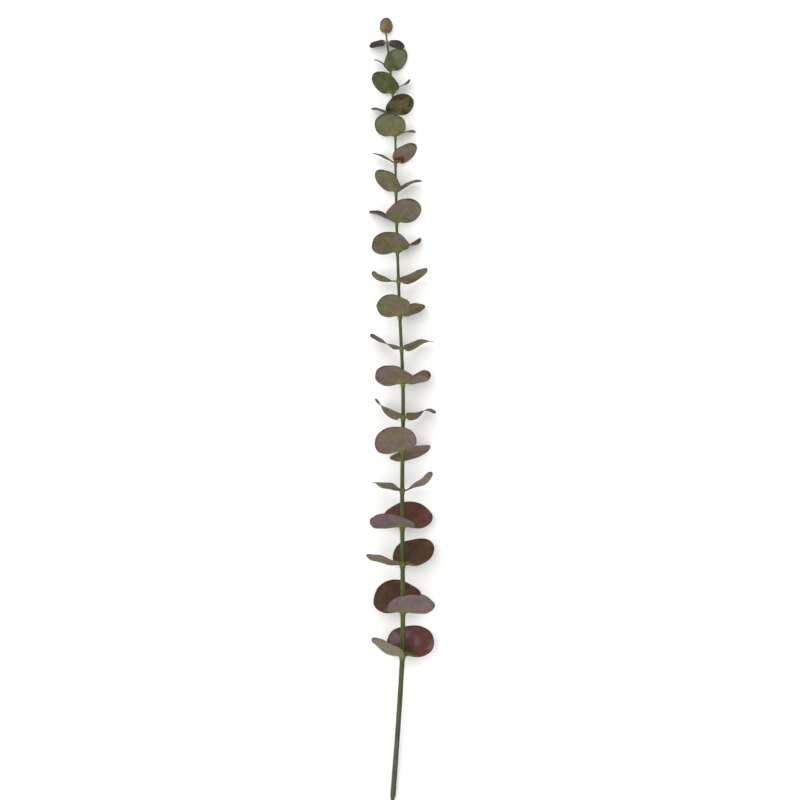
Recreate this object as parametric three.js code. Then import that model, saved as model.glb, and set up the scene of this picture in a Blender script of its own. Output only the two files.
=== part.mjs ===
// A cut eucalyptus branch lying on a flat surface, in millimetres.
//
// The branch lies along Y with its tip at +Y. Z is up, away from the surface at Z = 0.
// One tapering stem carries twenty pairs of opposite round leaves and one small leaf at its tip.
// Every leaf is a thin curved plate on a short stalk. A leaf that reaches the surface lies along it.

import * as THREE from "three";
import { mergeVertices } from "three/addons/utils/BufferGeometryUtils.js";

const { degToRad, lerp } = THREE.MathUtils;

// Stem
const STEM_LENGTH = 781;
const STEM_SIDES = 10;
const CUT_END_RADIUS = 1.9;
const CUT_END_LENGTH = 12;
const BUTT_RADIUS = 2.7;
const LEAFY_RADIUS = 2.5;
const TIP_RADIUS = 0.8;

// The collar at each node, where the leaf stalks join the stem
const COLLAR_SWELL = 1.1;
const COLLAR_SPREAD = 1.15;
const COLLAR_BELOW = 7;
const COLLAR_ABOVE = 2;

// Leaves. The shares are of the leaf's length.
const LEAF_THICKNESS = 1;
const LEAF_ROWS = 9;
const LEAF_COLUMNS = 4;
const STALK_SHARE = 0.05;
const STALK_HALF_WIDTH = 1.3;
const LOBE_SHARE = 0.16;
const EGG_SHAPE = 0.14;
const POINT_SHARPNESS = 0.56;
const STALK_GAP = 0.85;

// How softly a leaf bends where it meets the surface
const SURFACE_SOFTNESS = 1.2;

// Colours
const STEM_COLOUR = 0x5c6b2e;
const LOW_LEAF_COLOUR = new THREE.Color(0x5a3a34);
const HIGH_LEAF_COLOUR = new THREE.Color(0x5f6a4c);

// The stem's course: distance from the cut end, sideways place, height of its middle.
const COURSE = [
  [0, -8.6, 2],
  [12, -7.3, 3.5],
  [70, -3, 10],
  [157, 2.4, 21.5],
  [200, 2.8, 24],
  [322, 2.2, 20.5],
  [420, 3.1, 17.5],
  [500, -0.3, 16],
  [560, -2.5, 14],
  [640, -4.4, 11.5],
  [690, -5, 10],
  [720, -7.5, 9],
  [745, -10, 8],
  [STEM_LENGTH, -14, 6],
];

// The pairs, from the cut end to the tip, each at its distance from the cut end. For each leaf:
// [heading, rise at the stalk, in the middle and at the point, length, width, roll, twist, cup]
// Headings run from 0 at +X through 90 at +Z. A rise leans the leaf towards the branch's tip.
// Roll lifts the side that is on the left as seen from the stem, and twist is what is added to
// it by the leaf's point. Cup is how far the blade's sides bend up. Angles are in degrees.
const PAIRS = [
  { at: 157, left: [155, 38, 36, 32, 33, 38, 9, 0, 0], right: [-58, 50, 46, 40, 38, 50, 12, 0, 0] },
  { at: 201, left: [-114, 55, 52, 45, 38, 48, -14, 0, -10], right: [66, 42, 34, 22, 38, 50, -6, 0, -20] },
  { at: 248, left: [158, 12, 20, 22, 35, 40, 8, 0, 0], right: [-48, 45, 40, 32, 38, 45, 9, 0, 0] },
  { at: 286, left: [121, 38, 29, -2, 36, 50, 4, 0, -32], right: [-67, 44, 40, 30, 37, 48, 12, 0, -8] },
  { at: 322, left: [155, 14, 28, -10, 30, 34, 4, 0, 0], right: [8, 20, 32, 60, 32, 30, 2, -22, 0] },
  { at: 362, left: [118, 45, 38, 28, 37, 43, 22, 0, -18], right: [-62, -12, -16, -12, 31, 42, -21, 0, 0] },
  { at: 395, left: [170, 20, 38, 50, 31, 32, 24, -42, 0], right: [5, 5, 34, -45, 31, 32, -22, 36, 0] },
  { at: 429, left: [127, 40, 30, 15, 34, 38, 14, 0, -20], right: [-5, 20, 25, 15, 26, 26, 5, 35, 0] },
  { at: 464, left: [175, 15, 32, 22, 31, 28, 12, -36, 0], right: [5, 12, 28, -20, 30, 30, -20, 24, 0] },
  { at: 497, left: [116, 45, 38, 25, 32, 34, 14, 0, -18], right: [-15, 38, 25, 5, 25, 25, 18, 5, 0] },
  { at: 531, left: [178, 8, 12, 65, 26, 26, -6, 26, 0], right: [12, 15, 24, 42, 29, 30, -14, 8, 0] },
  { at: 561, left: [119, 40, 33, 14, 33, 39, 14, 0, -25], right: [-28, 58, 6, 60, 28, 15, 0, 8, 0] },
  { at: 591, left: [-155, 40, 22, 8, 30, 20, 4, -20, 0], right: [56, 50, 42, 35, 31, 36, -8, 0, -10] },
  { at: 622, left: [137, 50, 45, 36, 28, 28, 4, 0, 0], right: [0, 48, 24, -5, 26, 20, -4, 0, 0] },
  { at: 651, left: [178, 38, 22, 15, 22, 16, 0, 0, 0], right: [32, 48, 42, 32, 26, 25, -14, 0, 0] },
  { at: 678, left: [117, 52, 45, 30, 28, 32, 10, 0, -12], right: [-22, 35, 15, -20, 20, 14, -3, 0, 0] },
  { at: 699, left: [175, 35, 18, -5, 22, 18, -18, 0, 0], right: [62, 46, 41, 35, 27, 28, -6, 0, -10] },
  { at: 721, left: [134, 52, 44, 32, 27, 29, 6, 0, 0], right: [0, 78, 15, 60, 21, 12, 0, 25, 0] },
  { at: 744, left: [180, 64, 38, 8, 18, 8, 0, 0, 0], right: [50, 58, 52, 42, 25, 26, -4, 0, 0] },
  { at: 772, left: [178, -4, -18, -30, 16, 14, -36, 0, 0], right: [5, -8, -22, -35, 16, 15, 38, 0, 0] },
];

const TIP_LEAF = [75, 88, 84, 80, 15, 13, 0, 0, 5];

const leafyStart = PAIRS[0].at;

const course = new THREE.CatmullRomCurve3(
  COURSE.map(([along, side, height]) => new THREE.Vector3(side, along, height)),
  false,
  "centripetal",
);
const coursePoints = course.getPoints(600);

// The stem's middle at a distance from the cut end.
function stemMiddle(along) {
  const found = coursePoints.findIndex((point) => point.y > along);
  const next = found < 0 ? coursePoints.length - 1 : Math.max(found, 1);
  const lower = coursePoints[next - 1];
  const upper = coursePoints[next];
  return lower.clone().lerp(upper, (along - lower.y) / (upper.y - lower.y));
}

// The stem's radius between its nodes.
function plainRadius(along) {
  if (along < leafyStart) {
    return lerp(BUTT_RADIUS, LEAFY_RADIUS, along / leafyStart);
  }
  return lerp(LEAFY_RADIUS, TIP_RADIUS, (along - leafyStart) / (STEM_LENGTH - leafyStart));
}

// The radius at a node's widest, where the leaf stalks join.
function collarRadius(along) {
  const swell = COLLAR_SWELL * (1 - (0.5 * along) / STEM_LENGTH);
  return plainRadius(along) * COLLAR_SPREAD + swell;
}

// The stem is turned as a straight rod, and each ring of it is then moved to the stem's course.
function makeStem() {
  const profile = [new THREE.Vector2(0, 0)];
  const addRing = (along, radius) => profile.push(new THREE.Vector2(radius, along));
  // The stem is thinner for a short way above its cut, and a small step ends that.
  addRing(0, CUT_END_RADIUS);
  addRing(CUT_END_LENGTH - 1, CUT_END_RADIUS);
  addRing(CUT_END_LENGTH, BUTT_RADIUS);
  addRing(leafyStart / 3, plainRadius(leafyStart / 3));
  addRing(leafyStart / 1.5, plainRadius(leafyStart / 1.5));
  PAIRS.forEach(({ at }, index) => {
    addRing(at - COLLAR_BELOW, plainRadius(at - COLLAR_BELOW));
    addRing(at, collarRadius(at));
    addRing(at + COLLAR_ABOVE, plainRadius(at + COLLAR_ABOVE));
    const next = PAIRS[index + 1];
    if (next) {
      const middle = (at + next.at - COLLAR_BELOW + COLLAR_ABOVE) / 2;
      addRing(middle, plainRadius(middle));
    }
  });
  addRing(STEM_LENGTH, TIP_RADIUS);
  profile.push(new THREE.Vector2(0, STEM_LENGTH));

  const geometry = new THREE.LatheGeometry(profile, STEM_SIDES);
  const places = geometry.attributes.position;
  for (let i = 0; i < places.count; i += 1) {
    const middle = stemMiddle(places.getY(i));
    places.setX(i, places.getX(i) + middle.x);
    places.setZ(i, places.getZ(i) + middle.z);
  }
  return closed(geometry);
}

// A geometry whose corners are shared, so that it is one closed body.
function closed(geometry) {
  geometry.deleteAttribute("normal");
  geometry.deleteAttribute("uv");
  const merged = mergeVertices(geometry, 1e-4);
  merged.computeVertexNormals();
  return merged;
}

// Where a row of the leaf's mesh lies, from 0 at the stem to 1 at the point. The rows crowd
// towards the blade's two ends, so that its outline stays round.
function rowShare(row) {
  if (row === 0) {
    return 0;
  }
  const turn = (Math.PI * (row - 1)) / (LEAF_ROWS - 1);
  return lerp(STALK_SHARE, 1, (1 - Math.cos(turn)) / 2);
}

// Half the leaf's width at a share of its length: an oval, wider towards the stem, whose point is
// round at a sharpness of 0.5 and keener above that.
function halfWidth(share, width) {
  const along = Math.max(0, (share - STALK_SHARE) / (1 - STALK_SHARE));
  const fullness = 0.5 / 0.5 ** (0.5 + POINT_SHARPNESS);
  const oval = Math.sqrt(along) * (1 - along) ** POINT_SHARPNESS * fullness * width;
  const egg = 1 + EGG_SHAPE * (1 - 2 * along);
  return Math.max(STALK_HALF_WIDTH, oval * egg);
}

// The height of a point that the surface holds up, at least half a leaf's thickness.
function heldUp(height) {
  const least = LEAF_THICKNESS / 2;
  const above = (height - least) / SURFACE_SOFTNESS;
  return above > 20 ? height : least + SURFACE_SOFTNESS * Math.log1p(Math.exp(above));
}

// The leaf's rows from stalk to point: each has a middle, three ways, half a width and a lobe,
// which is how far its sides reach back towards the stem per millimetre of width.
function leafRows(stalkEnd, outward, leaf) {
  const [, stalkRise, middleRise, pointRise, length, width, roll, twist] = leaf;
  const tipward = new THREE.Vector3(0, 1, 0);
  const riseAt = (share) => {
    const early = lerp(stalkRise, middleRise, 2 * share);
    const late = lerp(middleRise, pointRise, 2 * share - 1);
    return degToRad(share < 0.5 ? early : late);
  };
  const leaning = (rise) => {
    const way = outward.clone().multiplyScalar(Math.cos(rise));
    return way.addScaledVector(tipward, Math.sin(rise));
  };

  const middle = stalkEnd.clone();
  const rows = [];
  for (let row = 0; row <= LEAF_ROWS; row += 1) {
    const share = rowShare(row);
    if (row > 0) {
      const before = rowShare(row - 1);
      middle.addScaledVector(leaning(riseAt((share + before) / 2)), (share - before) * length);
    }
    const along = leaning(riseAt(share));
    const upper = leaning(riseAt(share) + Math.PI / 2);
    upper.applyAxisAngle(along, degToRad(roll + twist * share));
    const across = upper.clone().cross(along);
    const half = halfWidth(share, width);
    const lobe = (LOBE_SHARE * length * (1 - share) ** 3) / (width / 2);
    rows.push({ middle: middle.clone(), along, across, upper, half, lobe });
  }
  return rows;
}

// A leaf starts as a flat box, two wide and one long and thick, whose corners are then moved to
// the leaf's rows. Its stalk stops just short of the stem.
function makeLeaf(stemPoint, stemRadius, leaf) {
  const [heading, , , , , width, , , cup] = leaf;
  const outward = new THREE.Vector3(Math.cos(degToRad(heading)), 0, Math.sin(degToRad(heading)));
  const stalkEnd = stemPoint.clone().addScaledVector(outward, stemRadius);
  const rows = leafRows(stalkEnd, outward, leaf);
  const bend = degToRad(cup) / (width / 2);

  const geometry = new THREE.BoxGeometry(2, 1, 1, LEAF_COLUMNS, 1, LEAF_ROWS);
  const places = geometry.attributes.position;
  for (let i = 0; i < places.count; i += 1) {
    const row = rows[Math.round((places.getZ(i) + 0.5) * LEAF_ROWS)];
    const reach = places.getX(i) * row.half;
    const aside = bend === 0 ? reach : Math.sin(reach * bend) / bend;
    const lift = bend === 0 ? 0 : (1 - Math.cos(reach * bend)) / bend;
    const point = row.middle.clone();
    point.addScaledVector(row.across, aside);
    point.addScaledVector(row.upper, lift);
    point.addScaledVector(row.along, -row.lobe * Math.abs(reach));
    point.z = heldUp(point.z);
    point.addScaledVector(row.upper, places.getY(i) * LEAF_THICKNESS);
    places.setXYZ(i, point.x, point.y, point.z);
  }
  return closed(geometry);
}

function leafMaterial(at) {
  const share = (at - leafyStart) / (STEM_LENGTH - leafyStart);
  const color = LOW_LEAF_COLOUR.clone().lerp(HIGH_LEAF_COLOUR, share);
  return new THREE.MeshStandardMaterial({ color, roughness: 0.6, metalness: 0 });
}

function stemMaterial() {
  return new THREE.MeshStandardMaterial({ color: STEM_COLOUR, roughness: 0.6, metalness: 0 });
}

const branch = new THREE.Group();

function addMesh(name, geometry, material) {
  const mesh = new THREE.Mesh(geometry, material);
  mesh.name = name;
  branch.add(mesh);
}

addMesh("stem", makeStem(), stemMaterial());

PAIRS.forEach(({ at, left, right }, index) => {
  const number = String(index + 1).padStart(2, "0");
  const stemRadius = collarRadius(at) + STALK_GAP;
  addMesh(`leaf_${number}_left`, makeLeaf(stemMiddle(at), stemRadius, left), leafMaterial(at));
  addMesh(`leaf_${number}_right`, makeLeaf(stemMiddle(at), stemRadius, right), leafMaterial(at));
});

const aboveStem = stemMiddle(STEM_LENGTH).add(new THREE.Vector3(0, STALK_GAP, 0));
addMesh("tip_leaf", makeLeaf(aboveStem, 0, TIP_LEAF), leafMaterial(STEM_LENGTH));

// The origin is the middle of the branch's footprint, on the surface.
const box = new THREE.Box3().setFromObject(branch);
const footprintMiddle = box.getCenter(new THREE.Vector3());
branch.position.set(-footprintMiddle.x, -footprintMiddle.y, -box.min.z);

export default branch;
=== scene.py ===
"""A cut eucalyptus branch lying on a pale floor: its looks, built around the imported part.

One stem carries twenty pairs of round leaves and a small leaf at its tip. Lengths are in
millimetres until a mesh is written, which is in metres.
"""

import math
import random
from collections import namedtuple

import bpy
from bpy.props import FloatProperty, FloatVectorProperty, PointerProperty
from mathutils import Matrix, Vector, noise


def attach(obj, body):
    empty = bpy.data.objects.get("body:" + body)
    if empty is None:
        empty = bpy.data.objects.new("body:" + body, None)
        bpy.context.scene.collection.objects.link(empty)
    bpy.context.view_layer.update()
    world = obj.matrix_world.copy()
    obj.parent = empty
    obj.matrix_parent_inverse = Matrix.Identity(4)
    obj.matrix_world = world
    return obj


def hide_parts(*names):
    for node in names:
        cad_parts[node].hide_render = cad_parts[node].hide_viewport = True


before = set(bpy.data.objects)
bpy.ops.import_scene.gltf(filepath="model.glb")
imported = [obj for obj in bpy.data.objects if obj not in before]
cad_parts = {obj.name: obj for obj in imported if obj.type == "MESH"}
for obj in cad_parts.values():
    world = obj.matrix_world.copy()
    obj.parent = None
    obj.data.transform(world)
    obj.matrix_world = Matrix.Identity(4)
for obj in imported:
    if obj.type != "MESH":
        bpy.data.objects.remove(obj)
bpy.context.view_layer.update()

bl_info = {
    "name": "Eucalyptus branch",
    "version": (1, 0, 0),
    "blender": (4, 5, 0),
    "location": "3D View > Sidebar > Branch",
    "description": "Makes a cut eucalyptus branch with round leaves, and the stage it lies on",
    "category": "Add Mesh",
}

MM = 0.001

# ---------------------------------------------------------------- the leaves' shapes and looks

# Headings run from 0 at +X through 90 at +Z, a rise leans the leaf towards the branch's tip at its
# stalk, middle and point, roll lifts its left side, twist adds to the roll by the point, and cup is
# how far its sides bend up. Angles are in degrees.
LeafShape = namedtuple(
    "LeafShape", "heading stalk_rise middle_rise point_rise length width roll twist cup"
)

# Each pair's distance from the cut end, then its left and its right leaf: the shape, and the colours
# of the underside and of the upper side, each as the body's, the foot's and the flush's.
PAIRS = (
    (157, (155, 38, 36, 32, 33, 38, 9, 0, 0), "stone tan sage", "wine olive umber",
     (-58, 50, 46, 40, 38, 50, 12, 0, 0), "plum olive stone", "wine moss plum"),
    (201, (-114, 55, 52, 45, 38, 48, -14, 0, -10), "plum olive taupe", "umber moss wine",
     (66, 42, 34, 22, 38, 50, -6, 0, -20), "plum taupe stone", "wine olive umber"),
    (248, (158, 12, 20, 22, 35, 40, 8, 0, 0), "khaki tan sage", "umber olive wine",
     (-48, 45, 40, 32, 38, 45, 9, 0, 0), "taupe olive plum", "umber moss bark"),
    (286, (121, 38, 29, -2, 36, 50, 4, 0, -32), "plum taupe stone", "wine olive umber",
     (-67, 44, 40, 30, 37, 48, 12, 0, -8), "taupe olive plum", "wine moss umber"),
    (322, (155, 14, 28, -10, 30, 34, 4, 0, 0), "khaki bark sage", "wine bark umber",
     (8, 20, 32, 60, 32, 30, 2, -22, 0), "stone bark taupe", "wine bark umber"),
    (362, (118, 45, 38, 28, 37, 43, 22, 0, -18), "taupe stone plum", "bark olive wine",
     (-62, -12, -16, -12, 31, 42, -21, 0, 0), "taupe tan plum", "taupe tan plum"),
    (395, (170, 20, 38, 50, 31, 32, 24, -42, 0), "taupe taupe umber", "umber wine umber",
     (5, 5, 34, -45, 31, 32, -22, 36, 0), "khaki tan umber", "umber bark umber"),
    (429, (127, 40, 30, 15, 34, 38, 14, 0, -20), "taupe tan plum", "bark olive wine",
     (-5, 20, 25, 15, 26, 26, 5, 35, 0), "stone olive sage", "taupe stone bark"),
    (464, (175, 15, 32, 22, 31, 28, 12, -36, 0), "bark taupe umber", "umber taupe wine",
     (5, 12, 28, -20, 30, 30, -20, 24, 0), "khaki stone umber", "umber umber wine"),
    (497, (116, 45, 38, 25, 32, 34, 14, 0, -18), "taupe tan sage", "bark olive umber",
     (-15, 38, 25, 5, 25, 25, 18, 5, 0), "khaki tan bark", "khaki tan bark"),
    (531, (178, 8, 12, 65, 26, 26, -6, 26, 0), "khaki umber olive", "umber olive umber",
     (12, 15, 24, 42, 29, 30, -14, 8, 0), "khaki tan bark", "bark olive umber"),
    (561, (119, 40, 33, 14, 33, 39, 14, 0, -25), "khaki sage stone", "bark olive umber",
     (-28, 58, 6, 60, 28, 15, 0, 8, 0), "bark umber umber", "umber umber bark"),
    (591, (-155, 40, 22, 8, 30, 20, 4, -20, 0), "bark umber umber", "umber bark wine",
     (56, 50, 42, 35, 31, 36, -8, 0, -10), "stone sage taupe", "bark olive umber"),
    (622, (137, 50, 45, 36, 28, 28, 4, 0, 0), "khaki tan sage", "moss olive bark",
     (0, 48, 24, -5, 26, 20, -4, 0, 0), "khaki bark sage", "moss olive umber"),
    (651, (178, 38, 22, 15, 22, 16, 0, 0, 0), "khaki wine moss", "moss wine umber",
     (32, 48, 42, 32, 26, 25, -14, 0, 0), "stone red khaki", "bark red umber"),
    (678, (117, 52, 45, 30, 28, 32, 10, 0, -12), "sage tan khaki", "moss olive bark",
     (-22, 35, 15, -20, 20, 14, -3, 0, 0), "khaki tan umber", "umber olive moss"),
    (699, (175, 25, 18, -5, 22, 18, -18, 0, 0), "umber olive bark", "umber olive bark",
     (62, 46, 41, 35, 27, 28, -6, 0, -10), "moss olive khaki", "umber olive moss"),
    (721, (134, 52, 44, 32, 27, 29, 6, 0, 0), "fern green fern", "moss green fern",
     (0, 78, 15, 60, 21, 12, 0, 25, 0), "fern green umber", "moss green umber"),
    (744, (180, 64, 38, 8, 18, 8, 0, 0, 0), "umber fern moss", "umber fern moss",
     (50, 58, 52, 42, 25, 26, -4, 0, 0), "sage green fern", "moss green fern"),
    (772, (178, -4, -18, -30, 16, 14, -36, 0, 0), "rim moss moss", "rim moss moss",
     (5, -8, -22, -35, 16, 15, 38, 0, 0), "rim moss moss", "rim moss moss"),
)
TIP_LEAF = ((75, 88, 84, 80, 15, 13, 0, 0, 5), "tan bark bark", "bark moss umber")

# Pairs up to the first number are old leaves, and up to the second are middle ones.
OLD_PAIRS = 7
MIDDLE_PAIRS = 14

# The stalk and the lobes beside it, as shares of a leaf's length.
STALK_SHARE = 0.015
LOBE_SHARE = 0.16
# How much wider a blade is towards the stem, as a share of its width.
EGG_SHAPE = 0.14
# A higher sharpness gives a longer point. The first is at the cut end, the second at the tip.
POINT_SHARPNESS = 0.56
TIP_SHARPNESS = 0.46
# A leaf's foot starts this far outside the stem, and has a root that reaches back into it.
STALK_GAP = 0.85
STALK_ROOT = 1.8
STALK_THICKNESS = 1.1
# What each millimetre of a leaf's width adds to its stalk's thickness and to half its foot's width.
STALK_THICKENING = 0.019
FOOT_WIDENING = 0.06
LEAST_FOOT = 0.6
LEAST_POINT = 0.4

# A leaf's two sides wave apart by a turn in radians, and by shares of its width out and up.
WAVE_APART = 1.9
WAVE_OUT = 0.03
WAVE_UP = 0.02
# The midrib is a valley in the upper side and a ridge in the underside.
VALLEY_DEPTH = 0.3
VALLEY_REACH = 0.9
MIDRIB_REACH = 0.7
# The floor holds a leaf's middle sheet this far up, and bends it softly over this height.
LEAF_CLEARANCE = 0.35
FLOOR_SOFTNESS = 1.2

# A leaf's grid, its points' two shares, and the material slots of its underside and its rim.
BLADE_COLUMNS = 28
BLADE_ROWS = 36
SHARE_NAMES = ("across_share", "length_share")
UNDER_SLOT = 1
RIM_SLOT = 2
# Millimetres of leaf that its flat map spans.
MAP_SIZE = 60

# Sizes of the lumps that a leaf's flush, the tone of its painted edge shade and its ragged
# borders come in, and the places where the noise for the first two is read, so that they differ.
FLUSH_LUMPS = 13
EDGE_SHADE_LUMPS = 16
RAGGED_LUMPS = 5
FLUSH_FIELD = Vector((90, 0, 0))
EDGE_SHADE_FIELD = Vector((0, 0, 90))
# Where a leaf's stalk and foot colours start and stop fading, in lengths of the leaf.
STALK_FADE = (0.04, 0.12)
FOOT_FADE = (0.14, 0.4)

TIPWARD = Vector((0, 1, 0))
# Edges that bend less than this look smooth.
SMOOTH_ANGLE = math.radians(50)
# It sets how each leaf's sides wave.
LEAF_SEED = 11


def linear(code):
    """An sRGB hex colour as linear red, green and blue."""
    parts = [int(code[i : i + 2], 16) / 255 for i in (1, 3, 5)]
    return tuple(c / 12.92 if c <= 0.04045 else ((c + 0.055) / 1.055) ** 2.4 for c in parts)


def length_property(name, description, default_mm):
    return FloatProperty(
        name=name, description=description, default=default_mm * MM, min=0, precision=5, unit="LENGTH"
    )


def colour_property(name, description, code):
    return FloatVectorProperty(
        name=name, description=description, default=linear(code), size=3, min=0, max=1, subtype="COLOR"
    )


class BranchSizes(bpy.types.PropertyGroup):
    cut_end_radius: length_property("Cut end radius", "The stem's radius below its small step", 1.9)
    butt_radius: length_property("Butt radius", "The stem's radius just above that step", 2.7)
    leafy_radius: length_property("Leafy radius", "The stem's radius at its first leaves", 2.5)
    tip_radius: length_property("Tip radius", "The stem's radius at its tip", 0.8)
    collar_swell: length_property("Collar swell", "How far the stem swells at a pair of leaves", 0.9)
    bark_relief: length_property("Bark relief", "How far the bark's lumps stand up", 0.16)
    blade_thickness: length_property("Blade thickness", "A leaf blade's thickness", 0.5)
    rim_thickness: length_property("Rim thickness", "A leaf blade's thickness at its edge", 0.26)
    midrib_height: length_property("Midrib height", "What the midrib adds to a blade's thickness", 0.5)


class BranchColours(bpy.types.PropertyGroup):
    wine: colour_property("Wine", "Old leaf, upper side", "#593731")
    umber: colour_property("Umber", "Old leaf, darkest upper side", "#4a3427")
    plum: colour_property("Plum", "Purple flush of an old underside", "#746060")
    taupe: colour_property("Taupe", "Old underside", "#726352")
    stone: colour_property("Stone", "Palest underside", "#6e6554")
    bark: colour_property("Bark brown", "Brown of a folded leaf", "#563f2e")
    tan: colour_property("Tan", "Pale brown foot of a leaf", "#76694b")
    khaki: colour_property("Khaki", "Underside half way up", "#645d40")
    sage: colour_property("Sage", "Grey-green underside", "#676a49")
    fern: colour_property("Fern", "Young underside", "#484f2d")
    olive: colour_property("Olive", "Yellow-green foot of a leaf", "#555927")
    green: colour_property("Green", "Bright green foot of a young leaf", "#47561d")
    red: colour_property("Red", "Red spot at a leaf's foot", "#4e130c")
    moss: colour_property("Moss", "Young leaf, upper side", "#3c351b")
    # Rim is the dark of the painted shade along a leaf's edge, and the last pair's own dark brown.
    rim: colour_property("Rim", "Thin edge of a leaf", "#271b16")
    stalk: colour_property("Stalk", "Leaf stalk", "#747940")
    stem_green: colour_property("Stem green", "Bark between the leaves", "#3d4914")
    stem_brown: colour_property("Stem brown", "Bark near the cut end", "#42452d")
    collar_green: colour_property("Collar green", "Bark of the collars", "#6f7537")
    freckle: colour_property("Freckle", "Brown freckles of the bark", "#4a3a26")
    cut_wood: colour_property("Cut wood", "Wood of the cut end", "#b9a77c")
    bloom: colour_property("Bloom", "Pale wax on the leaves", "#939789")
    floor: colour_property("Floor", "The pale floor", "#fafaf8")


# ---------------------------------------------------------------- small helpers


def ease(low, high, value):
    """0 below low, 1 above high, and smooth between them."""
    share = min(1, max(0, (value - low) / (high - low)))
    return share * share * (3 - 2 * share)


def mix(first, second, share):
    return first + (second - first) * share


def only(piece):
    """Selects that piece alone and makes it the active one."""
    bpy.ops.object.select_all(action="DESELECT")
    piece.select_set(True)
    bpy.context.view_layer.objects.active = piece


def added(name):
    """The object that the last primitive made, renamed."""
    piece = bpy.context.object
    piece.name = name
    piece.data.name = name
    return piece


def finished(piece, slot, *nodes):
    """Applies the piece's place, hides the imported nodes it stands for, and hangs it on the root
    body.
    """
    only(piece)
    bpy.ops.object.transform_apply(location=True, rotation=True, scale=True)
    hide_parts(*nodes)
    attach(piece, "root")


def wave_place(point, size):
    """Smooth noise from -1 to 1 at a point, in lumps of about that size."""
    return noise.noise(point / size)


# ---------------------------------------------------------------- the stem's place


def stem_rings():
    """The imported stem's rings: (distance from the cut end, middle, radius) of each, in order."""
    rings = {}
    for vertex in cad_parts["stem"].data.vertices:
        rings.setdefault(round(vertex.co.y / MM, 1), []).append(vertex.co / MM)
    start = min(rings)
    found = []
    for along, points in sorted(rings.items()):
        low, high = (Vector(map(pick, *points)) for pick in (min, max))
        found.append((along - start, (low + high) / 2, (high.z - low.z) / 2))
    return found


RINGS = stem_rings()
STEM_LENGTH = RINGS[-1][0]
LEAFY_START = PAIRS[0][0]


def stem_middle(along):
    """The middle of the stem at a distance from its cut end, on a smooth line through the rings."""
    last = len(RINGS) - 1
    after = min(max(1, sum(ring[0] <= along for ring in RINGS)), last)
    before = after - 1

    def slope(i):
        low, high = RINGS[max(0, i - 1)], RINGS[min(last, i + 1)]
        return (high[1] - low[1]) / (high[0] - low[0])

    span = RINGS[after][0] - RINGS[before][0]
    t = (along - RINGS[before][0]) / span
    return (
        RINGS[before][1] * (1 + 2 * t) * (1 - t) ** 2
        + RINGS[after][1] * (3 - 2 * t) * t * t
        + slope(before) * (span * t * (1 - t) ** 2)
        - slope(after) * (span * t * t * (1 - t))
    )


def ring_radius(along):
    """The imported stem's radius at one of its rings."""
    return min(RINGS, key=lambda ring: abs(ring[0] - along))[2]


# ---------------------------------------------------------------- leaves


def heading_way(shape):
    """The way that a leaf points out from the stem, before it rises."""
    turn = math.radians(shape.heading)
    return Vector((math.cos(turn), 0, math.sin(turn)))


def leaf_lean(shape, share, outward):
    """The way the leaf runs at a share of its length, and its upper side's normal, before its roll."""
    if share < 0.5:
        rise = mix(shape.stalk_rise, shape.middle_rise, 2 * share)
    else:
        rise = mix(shape.middle_rise, shape.point_rise, 2 * share - 1)
    rise = math.radians(rise)
    along = outward * math.cos(rise) + TIPWARD * math.sin(rise)
    upper = TIPWARD * math.cos(rise) - outward * math.sin(rise)
    return along, upper


def leaf_rows(root, shape):
    """The grid's rows from the root to the point: (share, middle, along, across, upper) of each."""
    outward = heading_way(shape)
    places = [(0, STALK_ROOT), (0, STALK_ROOT / 2), (0, 0), (STALK_SHARE / 2, 0)]
    blade_rows = BLADE_ROWS - len(places)
    for row in range(blade_rows + 1):
        crowded = (1 - math.cos(math.pi * row / blade_rows)) / 2
        places.append((mix(STALK_SHARE, 1, crowded), 0))
    middle = root.copy()
    before = 0
    rows = []
    for share, inside in places:
        step, _ = leaf_lean(shape, (share + before) / 2, outward)
        middle = middle + step * ((share - before) * shape.length)
        along, upper = leaf_lean(shape, share, outward)
        roll = math.radians(shape.roll + shape.twist * share)
        upper = Matrix.Rotation(roll, 3, along) @ upper
        across = upper.cross(along)
        rows.append((share, middle - outward * inside, along, across, upper))
        before = share
    return rows


def half_width(share, width, sharpness):
    """Half the leaf's width at a share of its length: an oval, wider towards the stem."""
    along = min(1, max(0, (share - STALK_SHARE) / (1 - STALK_SHARE)))
    fullness = 0.5 / 0.5 ** (0.5 + sharpness)
    oval = math.sqrt(along) * (1 - along) ** sharpness * fullness * width
    oval *= 1 + EGG_SHAPE * (1 - 2 * along)
    # The foot clasps the stem, and is wider on a wider leaf.
    least = mix(LEAST_FOOT + FOOT_WIDENING * width, LEAST_POINT, ease(0.5, 1, share))
    return math.hypot(oval, least)


def held_up(height):
    """The height that a point of a leaf's middle sheet has once the floor holds it up."""
    above = (height - LEAF_CLEARANCE) / FLOOR_SOFTNESS
    # High above the floor nothing bends, and the exponential would grow too large.
    return height if above > 20 else LEAF_CLEARANCE + FLOOR_SOFTNESS * math.log1p(math.exp(above))


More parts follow.
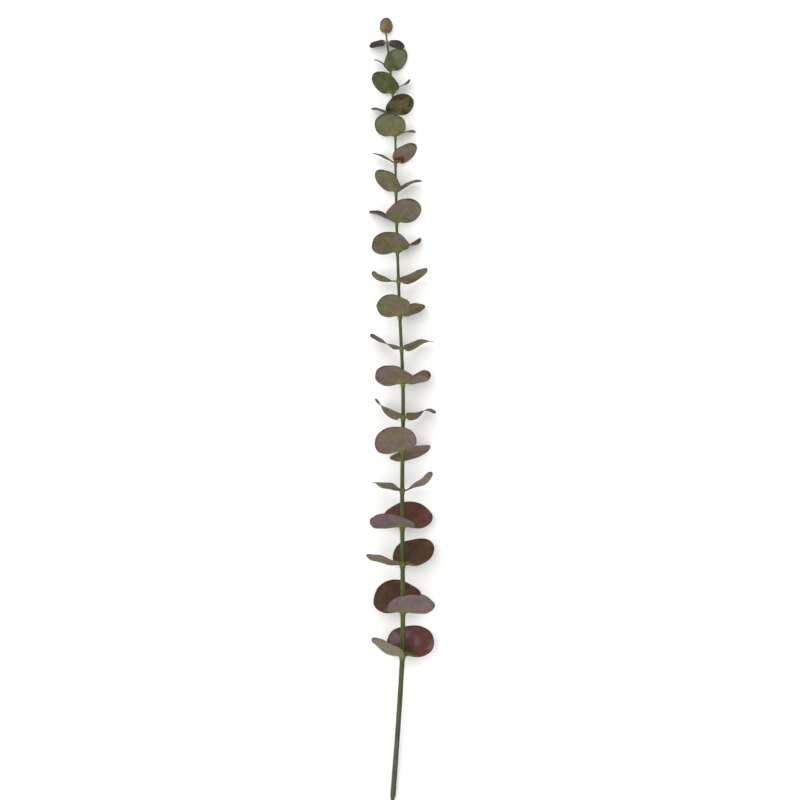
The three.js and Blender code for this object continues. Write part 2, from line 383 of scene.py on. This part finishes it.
def leaf_colour(palette, looks, share, from_foot, from_edge, spot):
    """The colour of one side of a leaf, some lengths from its foot and millimetres from its edge."""
    body, foot, flush = (palette[name] for name in looks)
    ragged = 0.12 * wave_place(spot, RAGGED_LUMPS)
    flushed = ease(0, 0.3, wave_place(spot + FLUSH_FIELD, FLUSH_LUMPS))
    colour = mix(body, flush, 0.75 * flushed)
    colour = mix(foot, colour, ease(*FOOT_FADE, from_foot + ragged))
    stalk = mix(palette["stalk"], foot, 0.35)
    colour = mix(stalk, colour, ease(*STALK_FADE, share + ragged / 3))
    # The dark rim is painted shade along the leaf's edge: faint along the sides, and broad and dark
    # at the leaf's point.
    paler_edge_shade = ease(0.1, 0.35, wave_place(spot + EDGE_SHADE_FIELD, EDGE_SHADE_LUMPS))
    edge_shade_tone = mix(palette["rim"], foot, 0.5 * paler_edge_shade)
    edge_shade_reach = mix(1.5, 4.5, share ** 3)
    rim = (1 - ease(0.25 * edge_shade_reach, edge_shade_reach, from_edge + 3 * ragged)) * ease(0.08, 0.4, share)
    return mix(colour, edge_shade_tone, mix(0.4, 0.8, ease(0.75, 1, share)) * rim)


def bent_grid(name, root, shape, sharpness, sizes, draw):
    """The leaf's middle sheet: a grid bent to its rows, with its thickness in a vertex group."""
    width = shape.width
    bend = math.radians(shape.cup) / (width / 2)
    phase, beat = draw.uniform(0, 2 * math.pi), draw.uniform(1.1, 1.8)
    rows = leaf_rows(root, shape)
    stalk_thick = STALK_THICKNESS + STALK_THICKENING * width

    bpy.ops.object.select_all(action="DESELECT")
    bpy.ops.mesh.primitive_grid_add(
        x_subdivisions=BLADE_COLUMNS, y_subdivisions=BLADE_ROWS, size=2, location=(0, 0, 0)
    )
    leaf = added(name)
    mesh = leaf.data
    thickness = leaf.vertex_groups.new(name="thickness")
    across_shares, length_shares, flat = [], [], []
    for vertex in mesh.vertices:
        start = vertex.co.copy()
        share, middle, along, across, upper = rows[round((start.y + 1) / 2 * BLADE_ROWS)]
        # The columns crowd at the midrib and at the rim.
        x = math.copysign((1 - math.cos(math.pi * abs(start.x))) / 2, -start.x)
        # The two sides wave apart, and less towards the point, where they meet.
        wave = math.sin(phase + beat * 2 * math.pi * share + (WAVE_APART if x > 0 else 0))
        wave *= ease(0, 0.25, 1 - share)
        reach = x * half_width(share, width, sharpness) * (1 + WAVE_OUT * wave)
        aside = math.sin(reach * bend) / bend if bend else reach
        lift = (1 - math.cos(reach * bend)) / bend if bend else 0
        in_blade = ease(STALK_SHARE, 0.2, share)
        lift += WAVE_UP * width * wave * x * x * in_blade
        lobe = LOBE_SHARE * shape.length * (1 - share) ** 3 / (width / 2) * abs(reach)
        point = middle + across * aside - along * lobe + upper * lift
        valley = math.exp(-((reach / VALLEY_REACH) ** 2)) * (1 - share) * in_blade
        point -= upper * valley * VALLEY_DEPTH
        point.z = held_up(point.z)
        ridge = math.exp(-((reach / MIDRIB_REACH) ** 2)) * (1 - share)
        blade = mix(sizes.blade_thickness, sizes.rim_thickness, ease(0.75, 1, abs(x)))
        blade = (blade + sizes.midrib_height * ridge) / MM
        stalk = stalk_thick * math.sqrt(max(0.03, 1 - x * x))
        thickness.add([vertex.index], mix(stalk, blade, in_blade) / 2, "REPLACE")
        across_shares.append(x)
        length_shares.append(share)
        vertex.co = point * MM
        flat.append((0.5 - reach / MAP_SIZE, share * shape.length / MAP_SIZE))

    for attribute, values in zip(SHARE_NAMES, (across_shares, length_shares)):
        mesh.attributes.new(attribute, "FLOAT", "POINT").data.foreach_set("value", values)
    mesh.uv_layers[0].name = "leaf_plane"
    for loop in mesh.loops:
        mesh.uv_layers[0].data[loop.index].uv = flat[loop.vertex_index]
    return leaf


def thicken(leaf, materials):
    """Gives the sheet its thickness, and its two sides and its rim their materials."""
    for material in materials:
        leaf.data.materials.append(material)
    solid = leaf.modifiers.new("thickness", "SOLIDIFY")
    solid.thickness = 2 * MM
    solid.offset = 0
    solid.vertex_group = "thickness"
    solid.material_offset = UNDER_SLOT
    solid.material_offset_rim = RIM_SLOT
    only(leaf)
    bpy.ops.object.modifier_apply(modifier=solid.name)
    leaf.vertex_groups.clear()


def colour_leaf(mesh, shape, sharpness, looks, palette):
    """Writes each face corner's colour, and drops the shares that it is worked out from."""
    across_shares, length_shares = (
        [item.value for item in mesh.attributes[attribute].data] for attribute in SHARE_NAMES
    )
    for attribute in SHARE_NAMES:
        mesh.attributes.remove(mesh.attributes[attribute])
    colours = mesh.color_attributes.new("leaf_colour", "FLOAT_COLOR", "CORNER")
    under_look, upper_look = (look.split() for look in looks)
    for face in mesh.polygons:
        look = under_look if face.material_index == UNDER_SLOT else upper_look
        for corner in face.loop_indices:
            index = mesh.loops[corner].vertex_index
            across, share = across_shares[index], length_shares[index]
            spot = mesh.vertices[index].co / MM
            half = half_width(share, shape.width, sharpness)
            from_foot = math.hypot(share, across * half / shape.length)
            from_edge = min(half * (1 - abs(across)), (1 - share) * shape.length)
            colour = leaf_colour(palette, look, share, from_foot, from_edge, spot)
            # The thin edge faces are painted half way to the rim's dark: painted shade.
            if face.material_index == RIM_SLOT and share > 0.2:
                colour = mix(colour, palette["rim"], 0.5)
            colours.data[corner].color = (*colour, 1)


def make_leaf(context, name, root, shape, sharpness, looks, materials, draw):
    """One leaf, with its foot at the root: a bent sheet, thickened, coloured and smoothed."""
    palette = {key: Vector(getattr(context.scene.branch_colours, key)) for key in PALETTE_NAMES}
    leaf = bent_grid(name, root, shape, sharpness, context.scene.branch_sizes, draw)
    thicken(leaf, materials)
    colour_leaf(leaf.data, shape, sharpness, looks, palette)
    only(leaf)
    bpy.ops.object.shade_smooth_by_angle(angle=SMOOTH_ANGLE)
    return leaf


# ---------------------------------------------------------------- materials

MATH, RANGE, NOISE = "ShaderNodeMath", "ShaderNodeMapRange", "ShaderNodeTexNoise"
TONE, BLEND, BUMP = "ShaderNodeHueSaturation", "ShaderNodeMix", "ShaderNodeBump"
# The settings of a Map Range node with soft ends.
SOFT = {"interpolation_type": "SMOOTHSTEP"}
# The middle of a noise's range, which is nearly all that it reaches.
NOISE_SPAN = (0.3, 0.7)
# Wax and fine hairs scatter light, so a leaf mirrors far less of it than a smooth skin would.
LEAF_SPECULAR = 0.12


def add_node(tree, kind, inputs=(), **settings):
    """A node of that kind, with its settings. An input is a value, a socket, or a node whose first
    output is linked.
    """
    node = tree.nodes.new(kind)
    for name, value in settings.items():
        setattr(node, name, value)
    for name, value in inputs.items() if isinstance(inputs, dict) else enumerate(inputs):
        if isinstance(value, bpy.types.Node):
            value = value.outputs[0]
        if isinstance(value, bpy.types.NodeSocket):
            tree.links.new(value, node.inputs[name])
        else:
            node.inputs[name].default_value = value
    return node


def lumps(size_mm):
    """The scale of a pattern on Object coordinates, in metres, whose lumps are about that size."""
    return 1 / (size_mm * MM)


def new_material(name):
    """A material: (material, its node tree, its Principled shader, its Object coordinates)."""
    material = bpy.data.materials.new(name)
    material.use_nodes = True
    tree = material.node_tree
    place = add_node(tree, "ShaderNodeTexCoord").outputs["Object"]
    return material, tree, tree.nodes["Principled BSDF"], place


def leaf_material(name, bloom, bloom_share, roughness, vein_height):
    """Living leaf with a thin wax bloom, which makes it matt and a little pale.

    Mottles 7 mm and 1.6 mm wide come from the wax, and side veins leave the midrib every 3.4 mm.
    """
    vein_gap, half_vein = 3.4 / MAP_SIZE, 0.55 / MAP_SIZE
    midrib_edge = (0.2 / MAP_SIZE, 0.9 / MAP_SIZE)
    vein_light = 0.12
    material, tree, shader, place = new_material(name)
    broad = add_node(tree, NOISE, {"Vector": place, "Scale": lumps(7), "Detail": 3})
    fine = add_node(tree, NOISE, {"Vector": place, "Scale": lumps(1.6), "Detail": 5})
    wax = add_node(tree, NOISE, {"Vector": place, "Scale": lumps(4), "Detail": 6})
    flat = add_node(tree, "ShaderNodeUVMap", uv_map="leaf_plane")
    flat = add_node(tree, "ShaderNodeSeparateXYZ", (flat,)).outputs
    sideways = add_node(tree, MATH, (flat["X"], 0.5), operation="SUBTRACT")
    sideways = add_node(tree, MATH, (sideways,), operation="ABSOLUTE")

    # Side veins leave the midrib at about 50 degrees, and bend with the broad mottle.
    forward = add_node(tree, MATH, (sideways, -0.85, flat["Y"]), operation="MULTIPLY_ADD")
    forward = add_node(tree, MATH, (broad, 0.03, forward), operation="MULTIPLY_ADD")
    from_vein = add_node(tree, MATH, (forward, vein_gap / 2), operation="PINGPONG")
    veins = add_node(tree, RANGE, (from_vein, 0, half_vein, 1, 0), **SOFT)
    faint_veins = add_node(tree, MATH, (veins, 0.55), operation="MULTIPLY")
    midrib = add_node(tree, RANGE, (sideways, *midrib_edge, 1, 0), **SOFT)
    lines = add_node(tree, MATH, (faint_veins, midrib), operation="MAXIMUM")

    colour = add_node(tree, "ShaderNodeVertexColor", layer_name="leaf_colour")
    broad_value = add_node(tree, RANGE, (broad, *NOISE_SPAN, 0.88, 1.1), **SOFT)
    fine_value = add_node(tree, RANGE, (fine, *NOISE_SPAN, 0.9, 1.1), **SOFT)
    value = add_node(tree, MATH, (broad_value, fine_value), operation="MULTIPLY")
    value = add_node(tree, MATH, (lines, vein_light, value), operation="MULTIPLY_ADD")
    toned = add_node(tree, TONE, {"Value": value, "Color": colour})
    dusty = add_node(tree, RANGE, (wax, 0.42, 0.68, 0, bloom_share), **SOFT)
    coated = add_node(tree, BLEND, {0: dusty, 6: toned, 7: (*bloom, 1)}, data_type="RGBA")
    half_fine = add_node(tree, MATH, (fine, 0.5), operation="MULTIPLY")
    height = add_node(tree, MATH, (lines, vein_height, half_fine), operation="MULTIPLY_ADD")
    bump = add_node(tree, BUMP, {"Height": height, "Strength": 0.6, "Distance": 0.15 * MM})
    dullness = (fine, *NOISE_SPAN, roughness - 0.08, roughness + 0.08)
    dullness = add_node(tree, RANGE, dullness, **SOFT)
    tree.links.new(coated.outputs[2], shader.inputs["Base Color"])
    tree.links.new(dullness.outputs[0], shader.inputs["Roughness"])
    shader.inputs["Specular IOR Level"].default_value = LEAF_SPECULAR
    tree.links.new(bump.outputs[0], shader.inputs["Normal"])
    return material


def rim_material():
    """The leaf's thin edge: bare and a little rougher, and dark with painted shade."""
    material, tree, shader, place = new_material("leaf_rim")
    speckle = add_node(tree, NOISE, {"Vector": place, "Scale": lumps(2), "Detail": 3})
    value = add_node(tree, RANGE, (speckle, *NOISE_SPAN, 0.8, 1.3), **SOFT)
    colour = add_node(tree, "ShaderNodeVertexColor", layer_name="leaf_colour")
    toned = add_node(tree, TONE, {"Value": value, "Color": colour})
    tree.links.new(toned.outputs[0], shader.inputs["Base Color"])
    shader.inputs["Roughness"].default_value = 0.6
    shader.inputs["Specular IOR Level"].default_value = LEAF_SPECULAR
    return material


def bark_material(freckle_colour):
    """Green bark of this year's growth: satin, with fibres along the stem and small brown freckles."""
    material, tree, shader, place = new_material("green_bark")
    # Fibres are 0.5 mm wide and about twenty times as long.
    drawn_out = add_node(tree, "ShaderNodeMapping", {"Vector": place, "Scale": (1, 0.05, 1)})
    fibres = add_node(tree, NOISE, {"Vector": drawn_out, "Scale": lumps(0.5), "Detail": 3})
    mottle = add_node(tree, NOISE, {"Vector": place, "Scale": lumps(6), "Detail": 3})
    freckles = add_node(tree, NOISE, {"Vector": place, "Scale": lumps(1.4), "Detail": 2})
    freckles = add_node(tree, RANGE, (freckles, 0.62, 0.7, 0, 0.45), **SOFT)
    colour = add_node(tree, "ShaderNodeVertexColor", layer_name="bark_colour")
    fibre_value = add_node(tree, RANGE, (fibres, *NOISE_SPAN, 0.8, 1.18), **SOFT)
    mottle_value = add_node(tree, RANGE, (mottle, *NOISE_SPAN, 0.86, 1.12), **SOFT)
    value = add_node(tree, MATH, (fibre_value, mottle_value), operation="MULTIPLY")
    toned = add_node(tree, TONE, {"Value": value, "Color": colour})
    brown = (*freckle_colour, 1)
    freckled = add_node(tree, BLEND, {0: freckles, 6: toned, 7: brown}, data_type="RGBA")
    bump = add_node(tree, BUMP, {"Height": fibres, "Strength": 0.5, "Distance": 0.12 * MM})
    satin = add_node(tree, RANGE, (mottle, *NOISE_SPAN, 0.42, 0.58), **SOFT)
    tree.links.new(freckled.outputs[2], shader.inputs["Base Color"])
    tree.links.new(satin.outputs[0], shader.inputs["Roughness"])
    shader.inputs["Specular IOR Level"].default_value = 0.25
    tree.links.new(bump.outputs[0], shader.inputs["Normal"])
    return material


def cut_wood_material(colour):
    """Wood of a fresh cut: pale, dry and fibrous, in specks 0.4 mm wide."""
    material, tree, shader, place = new_material("cut_wood")
    specks = add_node(tree, NOISE, {"Vector": place, "Scale": lumps(0.4), "Detail": 3})
    value = add_node(tree, RANGE, (specks, *NOISE_SPAN, 0.75, 1.15), **SOFT)
    toned = add_node(tree, TONE, {"Value": value, "Color": (*colour, 1)})
    tree.links.new(toned.outputs[0], shader.inputs["Base Color"])
    shader.inputs["Roughness"].default_value = 0.75
    return material


def floor_material(colour):
    """Matt painted board: even, with a very faint grain 40 mm wide."""
    material, tree, shader, place = new_material("pale_floor")
    patches = add_node(tree, NOISE, {"Vector": place, "Scale": lumps(40), "Detail": 3})
    value = add_node(tree, RANGE, (patches, *NOISE_SPAN, 0.985, 1.015), **SOFT)
    toned = add_node(tree, TONE, {"Value": value, "Color": (*colour, 1)})
    tree.links.new(toned.outputs[0], shader.inputs["Base Color"])
    shader.inputs["Roughness"].default_value = 0.9
    return material


# ---------------------------------------------------------------- the stem

STEM_SIDES = 20
# The stem is drawn out in steps of this length.
STATION_STEP = 1.5
# The stem's small step, in millimetres from its cut end.
CUT_STEP = (10.5, 13)
# A collar widens over the first stretch and closes over the second, in millimetres above its pair.
COLLAR_OPENS = (-7.5, -0.3)
COLLAR_CLOSES = (0.4, 2.8)
# A collar grows with the stem by this share of its radius, and reaches this share of its full swell.
COLLAR_GROWTH = 0.15
COLLAR_FILL = 0.92
# How big the bark's lumps are, and how far apart the bands are in which it is paler and darker.
BARK_LUMPS = 2.2
BARK_BANDS = 11
# The bark turns from its cut end's colour to its leafy part's over this stretch, in ragged patches.
BARK_TURNS = (60, 190)
TURN_LUMPS = 18
TURN_SWAY = 25
# The bark's side that gets painted light: up, and a little to the left. Its far side gets painted
# shade.
PAINTED_LIGHT_SIDE = Vector((-0.5, 0, 0.85))
# The cut end shows a ring of bark round wood that lies a little deeper.
BARK_THICKNESS = 0.35
WOOD_DEPTH = 0.12


def stem_radius(sizes, along):
    """The stem's radius in millimetres, and how much of a collar it has there, from 0 to 1."""
    if along < LEAFY_START:
        radius = mix(sizes.butt_radius, sizes.leafy_radius, along / LEAFY_START)
        radius -= (sizes.butt_radius - sizes.cut_end_radius) * (1 - ease(*CUT_STEP, along))
    else:
        share = (along - LEAFY_START) / (STEM_LENGTH - LEAFY_START)
        radius = mix(sizes.leafy_radius, sizes.tip_radius, share)
    swell = 0
    for pair in PAIRS:
        above = along - pair[0]
        swell = max(swell, ease(*COLLAR_OPENS, above) ** 1.5 * (1 - ease(*COLLAR_CLOSES, above)))
    full = COLLAR_GROWTH * radius + sizes.collar_swell * (1 - 0.5 * along / STEM_LENGTH)
    return (radius + swell * full * COLLAR_FILL) / MM, swell


def drawn_stem(sizes):
    """A disc at the cut end, extruded from station to station and closed with a blunt tip."""
    steps = math.ceil(STEM_LENGTH / STATION_STEP)
    stations = [min(STEM_LENGTH, STATION_STEP * step) for step in range(steps + 1)]
    middles = [stem_middle(along) * MM for along in stations]
    radii = [stem_radius(sizes, along)[0] * MM for along in stations]
    bpy.ops.object.select_all(action="DESELECT")
    bpy.ops.mesh.primitive_circle_add(
        vertices=STEM_SIDES, radius=radii[0], fill_type="NGON",
        location=middles[0], rotation=(math.pi / 2, 0, 0),
    )
    stem = added("green_stem")
    bpy.ops.object.transform_apply(location=True, rotation=True, scale=True)
    bpy.ops.object.mode_set(mode="EDIT")
    bpy.ops.mesh.select_all(action="SELECT")
    for before in range(len(stations) - 1):
        after = before + 1
        step = middles[after] - middles[before]
        growth = radii[after] / radii[before]
        bpy.ops.mesh.extrude_region_move(TRANSFORM_OT_translate={"value": step})
        bpy.ops.transform.resize(value=(growth, growth, growth), center_override=middles[after])
    bpy.ops.mesh.inset(thickness=0.25 * radii[-1])
    bpy.ops.transform.translate(value=(0, 0.3 * radii[-1], 0))
    bpy.ops.mesh.select_all(action="SELECT")
    bpy.ops.mesh.normals_make_consistent(inside=False)
    bpy.ops.object.mode_set(mode="OBJECT")
    return stem


def finish_bark(mesh, sizes, colours):
    """Raises the bark's lumps, and colours it along the stem and at its collars, with painted light
    and shade round its sides.
    """
    brown, green, collar = (
        Vector(colour) for colour in (colours.stem_brown, colours.stem_green, colours.collar_green)
    )
    shade = mesh.color_attributes.new("bark_colour", "FLOAT_COLOR", "POINT")
    start = stem_middle(0).y
    for vertex in mesh.vertices:
        spot = vertex.co / MM
        along = min(STEM_LENGTH, max(0, spot.y - start))
        middle = stem_middle(along)
        swell = stem_radius(sizes, along)[1]
        out = Vector((spot.x - middle.x, 0, spot.z - middle.z))
        if 1 < along < STEM_LENGTH - 1 and out.length > 0:
            lump = wave_place(Vector((spot.x, spot.y * 0.4, spot.z)), BARK_LUMPS)
            vertex.co += out.normalized() * (lump * sizes.bark_relief)
        turned = ease(*BARK_TURNS, along + TURN_SWAY * wave_place(spot, TURN_LUMPS))
        colour = mix(brown, green, turned)
        colour = mix(colour, collar, 0.6 * swell)
        # Painted light and shade: the bark is painted up to 1.3 times lighter on its upper left side
        # and down to half as light on its far sides.
        painted_light = ease(-0.2, 1, out.normalized().dot(PAINTED_LIGHT_SIDE))
        band = 1 + 0.3 * wave_place(Vector((0, spot.y, 7)), BARK_BANDS)
        colour = colour * (band * mix(0.5, 1.3, painted_light))
        shade.data[vertex.index].color = (*colour, 1)


def bare_cut_end(stem):
    """Insets the stem's first face, sinks it a little and gives it the second material, cut wood."""
    mesh = stem.data
    only(stem)
    bpy.ops.object.mode_set(mode="EDIT")
    bpy.ops.mesh.select_all(action="DESELECT")
    bpy.ops.object.mode_set(mode="OBJECT")
    end = min(mesh.polygons, key=lambda face: face.center.y)
    end.select = True
    bpy.ops.object.mode_set(mode="EDIT")
    bpy.ops.mesh.inset(thickness=BARK_THICKNESS * MM, depth=-WOOD_DEPTH * MM)
    bpy.ops.object.mode_set(mode="OBJECT")
    for face in mesh.polygons:
        face.material_index = 1 if face.select else 0


# ---------------------------------------------------------------- operators


class BRANCH_OT_stem(bpy.types.Operator):
    """Draw the tapering stem with its collars out of its cut end"""

    bl_idname = "branch.stem"
    bl_label = "Stem"

    def execute(self, context):
        sizes, colours = context.scene.branch_sizes, context.scene.branch_colours
        stem = drawn_stem(sizes)
        stem.data.materials.append(bark_material(colours.freckle))
        stem.data.materials.append(cut_wood_material(colours.cut_wood))
        finish_bark(stem.data, sizes, colours)
        bare_cut_end(stem)
        bpy.ops.object.shade_smooth_by_angle(angle=SMOOTH_ANGLE)
        finished(stem, "stem", "stem")
        return {"FINISHED"}


def leaf_slot(number):
    """The frame's material slot for the leaves of that pair."""
    if number <= OLD_PAIRS:
        return "old_leaf"
    return "middle_leaf" if number <= MIDDLE_PAIRS else "young_leaf"


class BRANCH_OT_leaves(bpy.types.Operator):
    """Make the twenty pairs of round leaves and the small leaf at the tip"""

    bl_idname = "branch.leaves"
    bl_label = "Leaves"

    def execute(self, context):
        colours = context.scene.branch_colours
        draw = random.Random(LEAF_SEED)
        # The underside has more wax, and its veins stand up more.
        upper_side = leaf_material(
            "waxy_leaf_upper_side", colours.bloom, bloom_share=0.03, roughness=0.5, vein_height=0.5
        )
        underside = leaf_material(
            "waxy_leaf_underside", colours.bloom, bloom_share=0.14, roughness=0.6, vein_height=0.9
        )
        materials = (upper_side, underside, rim_material())
        for number, (along, *pair) in enumerate(PAIRS, 1):
            # Leaves nearer the tip have blunter points.
            sharpness = mix(POINT_SHARPNESS, TIP_SHARPNESS, along / STEM_LENGTH)
            for side, measures, *looks in (("left", *pair[:3]), ("right", *pair[3:])):
                shape = LeafShape(*measures)
                root = stem_middle(along) + heading_way(shape) * (ring_radius(along) + STALK_GAP)
                name = f"{number:02d}_{side}"
                leaf = make_leaf(
                    context, f"leaf_blade_{name}", root, shape, sharpness, looks, materials, draw
                )
                finished(leaf, leaf_slot(number), f"leaf_{name}")
        root = stem_middle(STEM_LENGTH) + TIPWARD * STALK_GAP
        measures, *looks = TIP_LEAF
        shape = LeafShape(*measures)
        leaf = make_leaf(
            context, "leaf_blade_tip", root, shape, TIP_SHARPNESS, looks, materials, draw
        )
        finished(leaf, "young_leaf", "tip_leaf")
        return {"FINISHED"}


FLOOR_RADIUS = 9000
SKY_STRENGTH = 0.98
SUN_STRENGTH = 1.3
SUN_PLACE = (-1200, 800, 3000)
# A wide sun, in degrees, gives the soft shadows of a big studio lamp.
SUN_SPREAD = 60
# The camera looks straight down from this high above the floor. It stands to the right of the cut
# end, and tipward of the branch's middle.
CAMERA_HEIGHT = 2020
CAMERA_RIGHT = 8.6
CAMERA_TIPWARD = 13.6
LENS = 90
SENSOR_WIDTH = 36


class BRANCH_OT_stage(bpy.types.Operator):
    """Set the pale floor, the soft studio lights and the camera above the branch"""

    bl_idname = "branch.stage"
    bl_label = "Stage"

    def execute(self, context):
        scene = context.scene
        bpy.ops.object.select_all(action="DESELECT")
        bpy.ops.mesh.primitive_circle_add(
            vertices=96, radius=FLOOR_RADIUS * MM, fill_type="NGON", location=(0, 0, 0)
        )
        floor = added("floor")
        floor.data.materials.append(floor_material(scene.branch_colours.floor))

        world = bpy.data.worlds.new("studio")
        world.use_nodes = True
        sky = world.node_tree.nodes["Background"]
        sky.inputs["Color"].default_value = (1, 1, 1, 1)
        sky.inputs["Strength"].default_value = SKY_STRENGTH
        scene.world = world
        bpy.ops.object.light_add(type="SUN", location=Vector(SUN_PLACE) * MM)
        light = bpy.context.object
        light.name = "key_light"
        light.data.energy = SUN_STRENGTH
        light.data.angle = math.radians(SUN_SPREAD)
        light.rotation_euler = (-light.location).to_track_quat("-Z", "Y").to_euler()

        place = Vector((RINGS[0][1].x + CAMERA_RIGHT, CAMERA_TIPWARD, CAMERA_HEIGHT)) * MM
        bpy.ops.object.camera_add(location=place, rotation=(0, 0, 0))
        camera = bpy.context.object
        camera.data.lens = LENS
        camera.data.sensor_width = SENSOR_WIDTH
        camera.data.clip_end = 50
        scene.camera = camera
        scene.view_settings.view_transform = "Standard"
        return {"FINISHED"}


class BRANCH_PT_panel(bpy.types.Panel):
    """The branch's sizes, colours and steps"""

    bl_idname = "BRANCH_PT_panel"
    bl_label = "Eucalyptus branch"
    bl_space_type = "VIEW_3D"
    bl_region_type = "UI"
    bl_category = "Branch"

    def draw(self, context):
        for group in (context.scene.branch_sizes, context.scene.branch_colours):
            column = self.layout.column()
            for name in group.bl_rna.properties.keys():
                if name not in ("rna_type", "name"):
                    column.prop(group, name)
        for step in STEPS:
            self.layout.operator(step.bl_idname)


PALETTE_NAMES = tuple(BranchColours.__annotations__)
STEPS = (BRANCH_OT_stem, BRANCH_OT_leaves, BRANCH_OT_stage)
CLASSES = (BranchSizes, BranchColours, *STEPS, BRANCH_PT_panel)


def register():
    for made in CLASSES:
        bpy.utils.register_class(made)
    bpy.types.Scene.branch_sizes = PointerProperty(type=BranchSizes)
    bpy.types.Scene.branch_colours = PointerProperty(type=BranchColours)


def unregister():
    del bpy.types.Scene.branch_colours
    del bpy.types.Scene.branch_sizes
    for made in reversed(CLASSES):
        bpy.utils.unregister_class(made)


def main():
    register()
    bpy.ops.branch.stem()
    bpy.ops.branch.leaves()
    bpy.ops.branch.stage()


if __name__ == "__main__":
    main()
